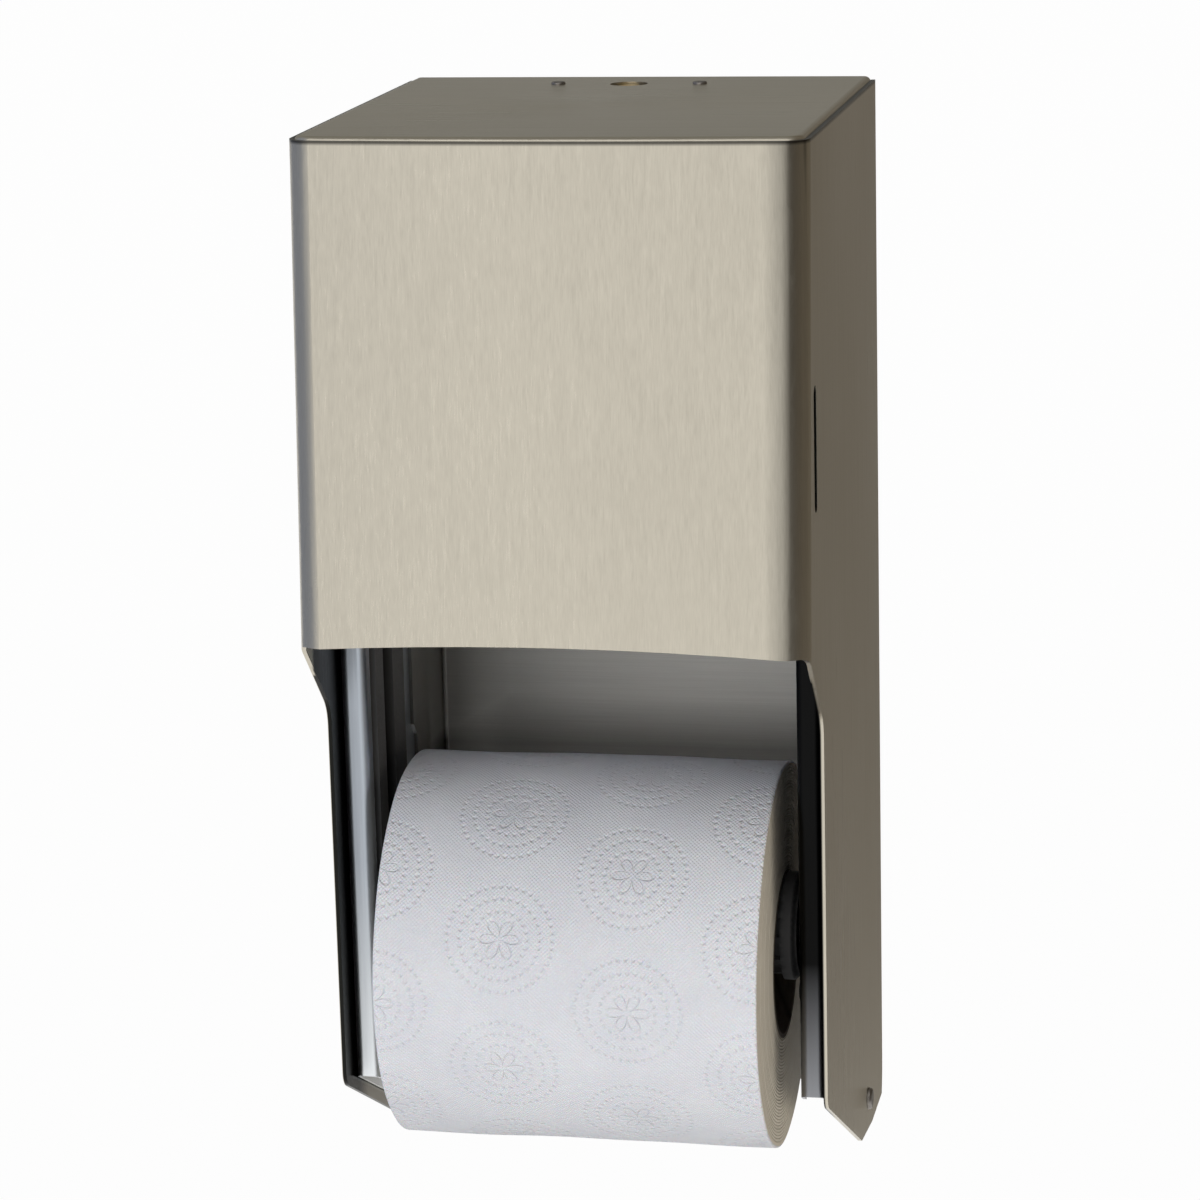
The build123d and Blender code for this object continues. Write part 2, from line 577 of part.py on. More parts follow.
def make_right_side_plate():
    """Side plate on the outside of the ear, with a front flange and its short return."""
    outside = SIDE_PLATE_OUTSIDE
    flange_inside = outside - FRONT_FLANGE_WIDTH
    front = -SIDE_PLATE_DEPTH
    channel_depth = FLANGE_RETURN + PLATE_SHEET
    blank = Pos((outside + flange_inside) / 2, (front - SIDE_PLATE_REAR) / 2) * Rectangle(
        FRONT_FLANGE_WIDTH, SIDE_PLATE_DEPTH - SIDE_PLATE_REAR
    )
    blank = fillet(blank.vertices().sort_by(Axis.Y)[:2], PLATE_BEND)
    inner_width = FRONT_FLANGE_WIDTH - 2 * PLATE_SHEET
    hollow = Pos((outside + flange_inside) / 2, front + PLATE_SHEET + CASE_DEPTH / 2) * Rectangle(
        inner_width, CASE_DEPTH
    )
    hollow = fillet(hollow.vertices().sort_by(Axis.Y)[:2], PLATE_BEND - PLATE_SHEET)
    behind = Pos(flange_inside, front + channel_depth + CASE_DEPTH / 2) * Rectangle(
        2 * (FRONT_FLANGE_WIDTH - PLATE_SHEET), CASE_DEPTH
    )
    plate = extrude(blank - hollow - behind, amount=SIDE_PLATE_TOP)
    outline = make_face(
        Polyline(
            (SIDE_PLATE_REAR, SIDE_PLATE_FOOT),
            (SIDE_PLATE_REAR, SIDE_PLATE_TOP),
            (SIDE_PLATE_DEPTH, SIDE_PLATE_TOP),
            (SIDE_PLATE_DEPTH, SIDE_PLATE_FRONT_FOOT),
            (SIDE_PLATE_HEEL_DEPTH, SIDE_PLATE_HEEL_HEIGHT),
            (TOE_DEPTH, SIDE_PLATE_FOOT),
            close=True,
        )
    )
    plate &= side_slab(outline, flange_inside, outside)
    for height in side_rivet_heights():
        plate -= cross_cylinder(RIVET_RADIUS, EAR_OUTSIDE, outside, SIDE_RIVET_DEPTH, height)
    for depth, height in rail_rivet_places():
        plate -= cross_cylinder(RIVET_RADIUS, EAR_OUTSIDE, outside, depth, height)
    return plate - cross_cylinder(HINGE_PIN_RADIUS, EAR_OUTSIDE, outside, HINGE_DEPTH, HINGE_HEIGHT)


def make_right_guide_rail():
    """Moulded rail with the groove that a spindle stub drops down, and a tunnel for the slide."""
    width = RAIL_FRONT_DEPTH - RAIL_REAR_DEPTH
    height = RAIL_TOP_HEIGHT - RAIL_FOOT_HEIGHT
    body = Pos(RAIL_REAR_DEPTH + width / 2, RAIL_FOOT_HEIGHT + height / 2) * RectangleRounded(
        width, height, RAIL_CORNER
    )
    rail = side_slab(body, RAIL_INSIDE, EAR_OUTSIDE)
    groove_height = RAIL_TOP_HEIGHT - LOWER_SPINDLE_HEIGHT
    groove = Pos(SPINDLE_DEPTH, LOWER_SPINDLE_HEIGHT) * Circle(GROOVE_RADIUS)
    groove += Pos(SPINDLE_DEPTH, LOWER_SPINDLE_HEIGHT + groove_height / 2) * Rectangle(
        2 * GROOVE_RADIUS, groove_height
    )
    lead_low = RAIL_TOP_HEIGHT - GROOVE_LEAD_IN
    groove += make_face(
        Polyline(
            (SPINDLE_DEPTH - GROOVE_RADIUS, lead_low),
            (SPINDLE_DEPTH - GROOVE_LEAD_WIDTH, RAIL_TOP_HEIGHT),
            (SPINDLE_DEPTH + GROOVE_LEAD_WIDTH, RAIL_TOP_HEIGHT),
            (SPINDLE_DEPTH + GROOVE_RADIUS, lead_low),
            close=True,
        )
    )
    rail -= side_slab(groove, RAIL_INSIDE, GROOVE_FLOOR)
    tunnel_length = GROOVE_REAR - RAIL_REAR_DEPTH
    tunnel = Pos(RAIL_REAR_DEPTH + tunnel_length / 2, SLIDE_TOP - SLIDE_HEIGHT / 2) * Rectangle(
        tunnel_length, SLIDE_HEIGHT + 2 * SLIDE_CLEARANCE
    )
    rail -= side_slab(
        tunnel, SLIDE_INSIDE - SLIDE_CLEARANCE, SLIDE_INSIDE + SLIDE_THICKNESS + SLIDE_CLEARANCE
    )
    for depth, z in rail_rivet_places():
        rail -= cross_cylinder(RIVET_RADIUS, RAIL_INSIDE, EAR_OUTSIDE, depth, z)
    return rail


def make_right_reserve_slide():
    """Sliding catch: its nose stands under the reserve stub, and its tab is behind the rail."""
    low = SLIDE_TOP - SLIDE_HEIGHT
    nose = GROOVE_REAR + SLIDE_NOSE_REACH
    tab_front = RAIL_REAR_DEPTH - SLIDE_TAB_GAP
    tab_rear = tab_front - SLIDE_TAB_LENGTH
    bar = make_face(
        Polyline(
            (tab_rear, low),
            (tab_rear, SLIDE_TOP),
            (nose, SLIDE_TOP),
            (nose, low + SLIDE_NOSE_CHAMFER),
            (nose - SLIDE_NOSE_CHAMFER, low),
            close=True,
        )
    )
    tab = Pos((tab_front + tab_rear) / 2, low + SLIDE_HEIGHT / 2) * RectangleRounded(
        SLIDE_TAB_LENGTH, SLIDE_TAB_HEIGHT, SLIDE_TAB_CORNER
    )
    return side_slab(bar + tab, SLIDE_INSIDE, SLIDE_INSIDE + SLIDE_THICKNESS)


def make_cross_rivet(inner, outer, depth, height, inner_head, outer_head):
    """Rivet along X with a low domed head at either end, or flush."""
    rivet = cross_cylinder(RIVET_RADIUS, inner, outer, depth, height)
    if inner_head:
        head = cross_cylinder(RIVET_HEAD_RADIUS, inner - RIVET_HEAD_HEIGHT, inner, depth, height)
        rivet += fillet(head.edges().group_by(Axis.X)[0], RIVET_HEAD_HEIGHT * HEAD_ROUNDING)
    if outer_head:
        head = cross_cylinder(RIVET_HEAD_RADIUS, outer, outer + RIVET_HEAD_HEIGHT, depth, height)
        rivet += fillet(head.edges().group_by(Axis.X)[-1], RIVET_HEAD_HEIGHT * HEAD_ROUNDING)
    return rivet


def make_side_plate_rivets():
    """Rivets between the ears and the side plates, flush outside."""
    rivets = []
    for height in side_rivet_heights():
        rivet = make_cross_rivet(
            EAR_INSIDE, SIDE_PLATE_OUTSIDE, SIDE_RIVET_DEPTH, height, True, False
        )
        rivets += [rivet, mirrored(rivet)]
    return Compound(rivets)


def make_guide_rail_rivets():
    """Rivets that hold the guide rails to the side plates, flush outside."""
    rivets = []
    for depth, height in rail_rivet_places():
        rivet = make_cross_rivet(RAIL_INSIDE, SIDE_PLATE_OUTSIDE, depth, height, True, False)
        rivets += [rivet, mirrored(rivet)]
    return Compound(rivets)


def make_right_hinge_rivet():
    """Shouldered rivet that the cover turns on: head outside, peened tail inside the ear."""
    head_low = HALF_WIDTH + HINGE_END_PLAY
    pin = cross_cylinder(HINGE_PIN_RADIUS, EAR_INSIDE, head_low, HINGE_DEPTH, HINGE_HEIGHT)
    head = cross_cylinder(
        HINGE_HEAD_RADIUS, head_low, head_low + HINGE_HEAD_HEIGHT, HINGE_DEPTH, HINGE_HEIGHT
    )
    head = fillet(head.edges().group_by(Axis.X)[-1], HINGE_HEAD_HEIGHT * HEAD_ROUNDING)
    tail = cross_cylinder(
        HINGE_TAIL_RADIUS, EAR_INSIDE - HINGE_TAIL_HEIGHT, EAR_INSIDE, HINGE_DEPTH, HINGE_HEIGHT
    )
    tail = fillet(tail.edges().group_by(Axis.X)[0], HINGE_TAIL_HEIGHT * HEAD_ROUNDING)
    return pin + head + tail


def make_right_hinge_washer():
    """Plastic washer on the hinge rivet, between the side plate and the cover."""
    thickness = COVER_SIDE_GAP - WASHER_PLAY
    outer = SIDE_PLATE_OUTSIDE + thickness
    washer = cross_cylinder(
        HINGE_WASHER_RADIUS, SIDE_PLATE_OUTSIDE, outer, HINGE_DEPTH, HINGE_HEIGHT
    )
    return washer - cross_cylinder(
        HINGE_PIN_RADIUS, SIDE_PLATE_OUTSIDE, outer, HINGE_DEPTH, HINGE_HEIGHT
    )


def make_spindle_barrel(height):
    """Ribbed hollow barrel of a spindle."""
    section = Circle(BARREL_RADIUS)
    rib_middle = (BARREL_BORE + RIB_OUTSIDE) / 2
    rib = Pos(rib_middle, 0) * Rectangle(RIB_OUTSIDE - BARREL_BORE, BARREL_RIB_WIDTH)
    for i in range(BARREL_RIB_COUNT):
        section += Rot(0, 0, i * 360 / BARREL_RIB_COUNT) * rib
    section &= Circle(RIB_OUTSIDE)
    section -= Circle(BARREL_BORE)
    place = Pos(-BARREL_LENGTH / 2, -SPINDLE_DEPTH, height) * Rot(0, 90, 0)
    return place * extrude(section, amount=BARREL_LENGTH)


def make_right_spindle_end(height):
    """End piece: a plug in the barrel, a chamfered disc with spokes, and the stub for the groove."""
    barrel_end = BARREL_LENGTH / 2
    disc = cross_cylinder(END_DISC_RADIUS, barrel_end, DISC_OUTSIDE, SPINDLE_DEPTH, height)
    disc = chamfer(disc.edges().group_by(Axis.X)[-1], END_DISC_CHAMFER)
    ring = Circle(END_DISC_RADIUS - END_DISC_RIM) - Circle(STUB_RADIUS + STUB_CHAMFER)
    for i in range(END_DISC_SPOKES):
        spoke = Pos(END_DISC_RADIUS / 2, 0) * Rectangle(END_DISC_RADIUS, END_DISC_SPOKE_WIDTH)
        ring -= Rot(0, 0, i * 360 / END_DISC_SPOKES) * spoke
    pockets = Pos(DISC_OUTSIDE - END_DISC_HOLLOW_DEPTH, -SPINDLE_DEPTH, height) * Rot(0, 90, 0)
    disc -= pockets * extrude(ring, amount=END_DISC_HOLLOW_DEPTH)
    plug = cross_cylinder(BARREL_BORE, barrel_end - END_PLUG_LENGTH, barrel_end, SPINDLE_DEPTH, height)
    stub = cross_cylinder(
        STUB_RADIUS, DISC_OUTSIDE, DISC_OUTSIDE + STUB_LENGTH, SPINDLE_DEPTH, height
    )
    stub = chamfer(stub.edges().group_by(Axis.X)[-1], STUB_CHAMFER)
    return disc + plug + stub


def make_roll_core(height):
    """Cardboard core, hanging on the top of its spindle."""
    place = (-ROLL_LENGTH / 2, ROLL_LENGTH / 2, SPINDLE_DEPTH, height - ROLL_DROP)
    return cross_cylinder(CORE_RADIUS + CORE_WALL, *place) - cross_cylinder(CORE_RADIUS, *place)


def make_roll_paper(height):
    """Wound paper round the core."""
    place = (-ROLL_LENGTH / 2, ROLL_LENGTH / 2, SPINDLE_DEPTH, height - ROLL_DROP)
    return cross_cylinder(ROLL_RADIUS, *place) - cross_cylinder(CORE_RADIUS + CORE_WALL, *place)


def make_pieces():
    """Every piece by name."""
    side_plate = make_right_side_plate()
    guide_rail = make_right_guide_rail()
    slide = make_right_reserve_slide()
    hinge_rivet = make_right_hinge_rivet()
    hinge_washer = make_right_hinge_washer()
    pieces = {
        "back_plate": make_back_plate(),
        "right_side_plate": side_plate,
        "left_side_plate": mirrored(side_plate),
        "side_plate_rivets": make_side_plate_rivets(),
        "right_guide_rail": guide_rail,
        "left_guide_rail": mirrored(guide_rail),
        "guide_rail_rivets": make_guide_rail_rivets(),
        "right_reserve_slide": slide,
        "left_reserve_slide": mirrored(slide),
        "lock_strike": make_strike(),
        "strike_rivets": make_strike_rivets(),
        "right_hinge_rivet": hinge_rivet,
        "left_hinge_rivet": mirrored(hinge_rivet),
        "right_hinge_washer": hinge_washer,
        "left_hinge_washer": mirrored(hinge_washer),
        "cover_shell": make_cover_shell(),
        "top_pan": make_top_pan(),
        "lock_bracket": make_lock_bracket(),
        "lock_rivets": make_lock_rivets(),
        "lock_barrel": make_lock_barrel(),
        "lock_cam": make_lock_cam(),
        "cam_screw": make_cam_screw(),
    }
    for name, height in (("lower", LOWER_SPINDLE_HEIGHT), ("reserve", UPPER_SPINDLE_HEIGHT)):
        end = make_right_spindle_end(height)
        pieces[f"{name}_spindle_barrel"] = make_spindle_barrel(height)
        pieces[f"{name}_spindle_right_end"] = end
        pieces[f"{name}_spindle_left_end"] = mirrored(end)
        pieces[f"{name}_roll_core"] = make_roll_core(height)
        pieces[f"{name}_roll_paper"] = make_roll_paper(height)
    return pieces


os.makedirs("parts", exist_ok=True)
for piece_name, piece in make_pieces().items():
    export_step(Pos(0, 0, -ORIGIN_HEIGHT) * piece, f"parts/{piece_name}.step")
print("origin height", ORIGIN_HEIGHT)
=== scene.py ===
import json
import math

import bpy
from mathutils import Matrix, Vector


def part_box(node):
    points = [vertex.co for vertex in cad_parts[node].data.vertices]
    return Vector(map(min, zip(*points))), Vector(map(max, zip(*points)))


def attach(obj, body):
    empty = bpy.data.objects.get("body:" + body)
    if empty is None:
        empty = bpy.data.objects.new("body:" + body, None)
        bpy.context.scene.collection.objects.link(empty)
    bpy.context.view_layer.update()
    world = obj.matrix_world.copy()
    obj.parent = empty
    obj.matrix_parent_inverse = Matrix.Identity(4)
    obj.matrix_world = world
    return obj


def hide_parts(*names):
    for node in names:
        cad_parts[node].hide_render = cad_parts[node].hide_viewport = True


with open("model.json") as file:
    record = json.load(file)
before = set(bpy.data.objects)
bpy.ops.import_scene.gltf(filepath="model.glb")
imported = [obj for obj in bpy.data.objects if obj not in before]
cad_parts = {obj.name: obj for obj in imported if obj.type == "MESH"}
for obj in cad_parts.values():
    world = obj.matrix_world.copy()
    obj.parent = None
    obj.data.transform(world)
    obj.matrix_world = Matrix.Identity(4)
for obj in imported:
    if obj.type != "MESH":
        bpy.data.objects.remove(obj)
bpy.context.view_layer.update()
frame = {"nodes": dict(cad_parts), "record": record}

# Camera: place and far limit in metres, azimuth to the right, elevation and roll in degrees
CAMERA_PLACE = (0.2127, -1.1422, 0.2857)
CAMERA_AZIMUTH = 11.33
CAMERA_ELEVATION = 13.79
CAMERA_ROLL = -1.41
CAMERA_REACH = 100.0

# Lens and sensor in millimetres
CAMERA_LENS = 117.2
SENSOR = 36.0

# Paper roll in metres: the wound outside lies within the plain one, its ends within the plain ends
ROLL_RADIUS = 0.0557
ROLL_INSET = 0.0005
ROLL_HALF_LENGTH = 0.054
END_INSET = 0.0001
CORE_OUTSIDE = 0.0241
EDGE_ROUND = 0.0006
ROLL_SEEDS = (("lower_roll", 0.6), ("reserve_roll", 2.3))

# Points of the roll's mesh
ROLL_STEPS_ROUND = 288
ROLL_STEPS_ALONG = 80
END_RINGS = 34
EDGE_STEPS = 4

# Unevenness of the outside: height in metres, waves round, radians a metre along, share of the seed
ROLL_WAVES = (
    (0.00022, 2, 0, 1),
    (0.00014, 5, 60, 2),
    (0.00009, 11, -95, 1),
    (0.00008, 3, 170, 0),
)

# Sunken layers on the ends: depth in metres, then the paces of two waves and the share of the seed
SUNK_DEPTH = 0.00022
RIGHT_END_WAVES = (40, 13, 1)
LEFT_END_WAVES = (36, 15, 2)

# Embossing in metres: blossoms in dotted rings (radius and dots of each), over a fine weave
PRINT_CELL = 0.036
PRINT_ROWS = 9
PRINT_RINGS = ((0.0078, 22.0), (0.0114, 32.0), (0.015, 43.0))
DOT_WIDTH = 0.0008
DOT_BAND = (-0.3, 0.8)
PETAL_WAVES = 3.0
PETAL_SHAPE = 0.6
PETAL_LENGTH = 0.0056
PETAL_WIDTH = 0.0009
PETAL_FILL = 0.45
WEAVE_LENGTH = 0.00115
WEAVE_HEIGHT = 0.22
LAYER_LENGTH = 0.0009

# Noise: the band that holds most of its values
NOISE_BAND = (0.3, 0.7)

# Brushed sheet: noise scale a metre along x, y and z, and the depth of the grain in metres
UPRIGHT_GRAIN = (3200.0, 3200.0, 30.0)
CROSSWISE_GRAIN = (30.0, 3200.0, 3200.0)
COARSE_GRAIN = 0.22
FINE_SHARE = 0.7
SMUDGE_SCALE = (9.0, 9.0, 6.0)
SMUDGE_BAND = (0.35, 0.75)
SMUDGE_SHARE = 0.22
GRAIN_DEPTH = 0.000014

# Where painted shade on the cover fades in or out, in metres of the shared frame
WALL_INSIDE = (0.0690, 0.0694)
WALL_SHADE_FROM = (-0.141, -0.139)
WALL_SHADE_TO = (-0.110, -0.100)
SHEET_FROM = (0.0687, 0.0689)
SHEET_TO = (0.0698, 0.06998)
LEFT_OF_MIDDLE = (-0.001, 0.001)
ABOVE_WINDOW = (0.01, 0.012)
BEHIND_BEND = (-0.1375, -0.1365)
CORNER_RISE = (0.0585, 0.0655)
CORNER_END = (0.0655, 0.0685)
CORNER_SHARE = 0.58
SEAM_RISE = (0.1578, 0.1586)
SEAM_SHARE = 0.85

# The same for the painted shade, light and reflection on the chassis plates
FLANGE_END = (-0.1125, -0.1095)
BACK_FACE = (-0.0011, -0.0008)
BACK_LOW = (-0.046, -0.030)
BACK_LEFT = (-0.062, -0.045)
BACK_LEFT_SHARE = 0.7
RIGHT_FOOT = (-0.14, -0.075)
LEFT_FOOT = (-0.13, -0.05)

# Light and dark tone of the sheets, then the colours painted on them as shade, light and reflection
COVER_STEEL = ((0.68, 0.63, 0.525), (0.60, 0.555, 0.46))
INNER_STEEL = ((1.0, 0.98, 0.93), (0.9, 0.88, 0.83))
# Bluish tone of the left plate, a painted reflection
PAINTED_BLUE_REFLECTION_STEEL = ((0.53, 0.57, 0.62), (0.46, 0.5, 0.55))
CORNER_SHADE = (0.03, 0.028, 0.025)
CUT_SHADE = (0.02, 0.02, 0.018)
FLANGE_SHADE = (0.01, 0.01, 0.01)
WALL_SHADE = (0.006, 0.006, 0.006)
BACK_SHADE = (0.07, 0.066, 0.058)
# Painted low on the side plates: a bluish-grey reflection on the right, light on the left
RIGHT_FOOT_PAINTED_REFLECTION = (0.5, 0.51, 0.54)
LEFT_FOOT_PAINTED_LIGHT = (0.96, 0.99, 1.0)

# Clean and dirty tone of the small metal pieces
RIVET_STEEL = ((0.32, 0.3, 0.28), (0.12, 0.11, 0.1))
LOCK_BRASS = ((0.78, 0.6, 0.3), (0.4, 0.28, 0.12))

# Light on matt surfaces from the world, and the floor in metres
WORLD_LIGHT = (0.6, 0.59, 0.57)
WHITE = (1.0, 1.0, 1.0)
FLOOR_HEIGHT = -0.62
FLOOR_SIZE = 60.0
FLOOR_TONE = (0.8, 0.8, 0.8)
FLOOR_GLOW_SHARE = 0.97

# Studio panels: two opposite corners in metres, and the tone that the steel reflects
PANELS = {
    "left_panel": ((-1.5, -2.2, -0.6), (-1.5, 0.9, 2.5), (0.265, 0.295, 0.375)),
    "right_panel": ((1.5, -4.0, -0.6), (1.5, 0.9, 2.5), (0.12, 0.105, 0.085)),
    "rear_panel": ((0.15, 0.9, -0.6), (1.5, 0.9, 2.5), (0.155, 0.136, 0.108)),
    "rear_upper_panel": ((-1.5, 0.9, 0.2), (0.15, 0.9, 2.5), (0.245, 0.24, 0.22)),
    "ceiling_panel": ((-1.5, -0.6, 2.5), (1.5, 0.9, 2.5), (0.245, 0.24, 0.22)),
}

# Lamps: place and size in metres, power in watts, colour; all aim at one point
LAMP_AIM = (0.0, 0.0, -0.05)
LAMPS = {
    "key": ((-0.3, -2.1, -0.38), (0.9, 0.45), 14.5, (0.95, 0.975, 1.0)),
    "side": ((1.5, -1.1, -0.1), (0.8, 0.8), 7.5, (1.0, 0.93, 0.81)),
}

# Sockets of the Mix node that carry colours
MIX_FIRST = 6
MIX_SECOND = 7
MIX_RESULT = 2


class Nodes:
    """A node tree and the means to fill it."""

    def __init__(self, tree):
        self.tree = tree
        self.tree.nodes.clear()

    def node(self, kind, **settings):
        made = self.tree.nodes.new(kind)
        for key, value in settings.items():
            setattr(made, key, value)
        return made

    def join(self, source, target):
        self.tree.links.new(source, target)

    def feed(self, socket, value):
        """Links a socket to another one, or sets its value."""
        if isinstance(value, bpy.types.NodeSocket):
            self.join(value, socket)
        else:
            socket.default_value = value

    def calc(self, operation, *values):
        """One or two values through a Math node."""
        made = self.node("ShaderNodeMath", operation=operation)
        for socket, value in zip(made.inputs, values):
            self.feed(socket, value)
        return made.outputs[0]

    def times(self, first, second):
        return self.calc("MULTIPLY", first, second)

    def plus(self, first, second):
        return self.calc("ADD", first, second)

    def minus(self, first, second):
        return self.calc("SUBTRACT", first, second)

    def greater(self, first, second):
        return self.calc("MAXIMUM", first, second)

    def unsigned(self, value):
        return self.calc("ABSOLUTE", value)

    def spread(self, value, band, start, end):
        """Start at one end of a band of values and end at the other."""
        made = self.node("ShaderNodeMapRange")
        for socket, number in zip(made.inputs, (value, *band, start, end)):
            self.feed(socket, number)
        return made.outputs[0]

    def rise(self, value, band, top=1.0):
        """0 before a band of values and top after it."""
        return self.spread(value, band, 0.0, top)

    def fall(self, value, band, top=1.0):
        """Top before a band of values and 0 after it."""
        return self.spread(value, band, top, 0.0)

    def blend(self, share, first, second):
        """Mixes two colours."""
        made = self.node("ShaderNodeMix", data_type="RGBA")
        self.feed(made.inputs[0], share)
        for place, colour in ((MIX_FIRST, first), (MIX_SECOND, second)):
            self.feed(made.inputs[place], (*colour, 1.0) if isinstance(colour, tuple) else colour)
        return made.outputs[MIX_RESULT]


class Paint(Nodes):
    """One material and the nodes in it."""

    def __init__(self, name):
        self.material = bpy.data.materials.new(name)
        self.material.use_nodes = True
        super().__init__(self.material.node_tree)
        self.shader = self.node("ShaderNodeBsdfPrincipled")
        self.output = self.node("ShaderNodeOutputMaterial")
        self.join(self.shader.outputs["BSDF"], self.output.inputs["Surface"])

    def set(self, name, value):
        self.feed(self.shader.inputs[name], value)

    def coordinates(self, kind="Object"):
        return self.node("ShaderNodeTexCoord").outputs[kind]

    def axes(self, kind="Object"):
        """The coordinates along x, y and z."""
        made = self.node("ShaderNodeSeparateXYZ")
        self.join(self.coordinates(kind), made.inputs[0])
        return made.outputs

    def noise(self, scale, detail, roughness):
        """Noise with a scale a metre: one number, or one for each axis."""
        mapping = self.node("ShaderNodeMapping")
        self.join(self.coordinates(), mapping.inputs["Vector"])
        mapping.inputs["Scale"].default_value = scale if isinstance(scale, tuple) else (scale,) * 3
        made = self.node("ShaderNodeTexNoise")
        self.join(mapping.outputs[0], made.inputs["Vector"])
        made.inputs["Scale"].default_value = 1.0
        made.inputs["Detail"].default_value = detail
        made.inputs["Roughness"].default_value = roughness
        return made.outputs["Fac"]

    def worn_edge(self, band=(0.51, 0.56)):
        """1 on outward edges and 0 on flat faces."""
        return self.rise(self.node("ShaderNodeNewGeometry").outputs["Pointiness"], band)

    def bump(self, height, distance, strength, below=None):
        """Relief of a height in metres, over another relief where below is given."""
        made = self.node("ShaderNodeBump")
        made.inputs["Distance"].default_value = distance
        made.inputs["Strength"].default_value = strength
        self.join(height, made.inputs["Height"])
        if below is not None:
            self.join(below, made.inputs["Normal"])
        self.join(made.outputs[0], self.shader.inputs["Normal"])
        return made.outputs[0]


def hidden_side_shade(paint):
    """1 on the front part of the inner faces of the cover's walls, in front of the side plates, where
    painted shade darkens them almost to black.
    """
    x, y, _ = paint.axes()
    inside = paint.fall(paint.unsigned(x), WALL_INSIDE)
    return paint.times(inside, paint.times(paint.rise(y, WALL_SHADE_FROM), paint.fall(y, WALL_SHADE_TO)))


def cut_edge_shade(paint):
    """1 inside the walls' thickness behind the bends: all of the left one, the right above the window.
    Painted shade darkens these cut edges.
    """
    x, y, z = paint.axes()
    across = paint.unsigned(x)
    in_sheet = paint.times(paint.rise(across, SHEET_FROM), paint.fall(across, SHEET_TO))
    left = paint.fall(x, LEFT_OF_MIDDLE)
    above = paint.rise(z, ABOVE_WINDOW)
    return paint.times(paint.times(in_sheet, paint.rise(y, BEHIND_BEND)), paint.greater(left, above))


def right_corner_shade(paint):
    """Share of painted shade on the cover's front beside its right bend."""
    x = paint.axes()[0]
    return paint.times(paint.rise(x, CORNER_RISE, CORNER_SHARE), paint.fall(x, CORNER_END))


def top_seam_shade(paint):
    """Share of painted shade along the cover's top edge, where its sheet meets the pan."""
    return paint.rise(paint.axes()[2], SEAM_RISE, SEAM_SHARE)


def front_flange_shade(paint):
    """1 on a side plate's front flange and the bend that carries it, painted almost black as shade on the
    right plate.
    """
    return paint.fall(paint.axes()[1], FLANGE_END)


def right_foot_reflection(paint):
    """1 at the foot of the right side plate, where a bluish-grey reflection is painted."""
    return paint.fall(paint.axes()[2], RIGHT_FOOT)


def left_foot_light(paint):
    """1 at the foot of the left side plate, where a pale bluish light is painted."""
    return paint.fall(paint.axes()[2], LEFT_FOOT)


def shaded_back(paint):
    """Share of painted shade on the back plate's room side: full behind the lower roll, less at the left.
    """
    x, y, z = paint.axes()
    shade = paint.greater(paint.fall(z, BACK_LOW), paint.fall(x, BACK_LEFT, BACK_LEFT_SHARE))
    return paint.times(paint.fall(y, BACK_FACE), shade)


def brushed_steel(name, tones, grain, roughness, anisotropy, around="Z", painted_light_and_shade=()):
    """Brushed sheet. Grain is its noise scale; the last argument holds pairs of a mask and the colour of
    painted light, shade or reflection laid on there.
    """
    colour, dark = tones
    paint = Paint(name)
    fine = paint.noise(grain, detail=2.0, roughness=0.6)
    coarse = paint.noise(tuple(g * COARSE_GRAIN for g in grain), detail=3.0, roughness=0.5)
    smudge = paint.noise(SMUDGE_SCALE, detail=3.0, roughness=0.5)
    streaks = paint.plus(paint.times(fine, FINE_SHARE), paint.times(coarse, 1.0 - FINE_SHARE))
    tone = paint.blend(paint.rise(streaks, NOISE_BAND), dark, colour)
    tone = paint.blend(paint.rise(smudge, SMUDGE_BAND, SMUDGE_SHARE), tone, dark)
    for mask, tint in painted_light_and_shade:
        tone = paint.blend(mask(paint), tone, tint)
    paint.set("Base Color", tone)
    paint.set("Metallic", 1.0)
    polish = paint.spread(streaks, NOISE_BAND, roughness + 0.05, roughness - 0.04)
    touched = paint.spread(smudge, (0.3, 0.8), -0.02, 0.05)
    paint.set("Roughness", paint.plus(polish, touched))
    paint.set("Anisotropic", anisotropy)
    tangent = paint.node("ShaderNodeTangent", direction_type="RADIAL", axis=around)
    paint.join(tangent.outputs[0], paint.shader.inputs["Tangent"])
    paint.bump(streaks, GRAIN_DEPTH, strength=0.5)
    return paint.material


def turned_metal(name, tones, roughness):
    """Small turned or pressed metal pieces with fine scratches and darker dirt."""
    colour, dirty = tones
    paint = Paint(name)
    grain = paint.noise(900.0, detail=4.0, roughness=0.6)
    dirt = paint.noise(260.0, detail=3.0, roughness=0.6)
    bright = tuple(min(1.0, c * 1.3) for c in colour)
    tone = paint.blend(paint.rise(dirt, (0.4, 0.7), 0.8), colour, dirty)
    paint.set("Base Color", paint.blend(paint.worn_edge(), tone, bright))
    paint.set("Metallic", 1.0)
    paint.set("Roughness", paint.spread(grain, NOISE_BAND, roughness - 0.06, roughness + 0.1))
    paint.bump(grain, 0.00004, strength=0.4)
    return paint.material


def moulded_plastic(name):
    """Black moulded plastic with a fine spark-eroded grain and greyed edges."""
    black, cloudy, greyed = (0.003, 0.003, 0.0035), (0.006, 0.006, 0.0065), (0.07, 0.07, 0.072)
    paint = Paint(name)
    grain = paint.noise(2600.0, detail=2.0, roughness=0.5)
    cloud = paint.noise(45.0, detail=3.0, roughness=0.5)
    tone = paint.blend(paint.rise(cloud, NOISE_BAND), black, cloudy)
    paint.set("Base Color", paint.blend(paint.worn_edge(), tone, greyed))
    paint.set("Roughness", paint.spread(grain, NOISE_BAND, 0.38, 0.52))
    paint.set("Specular IOR Level", 0.12)
    paint.bump(grain, 0.00003, strength=0.5)
    return paint.material


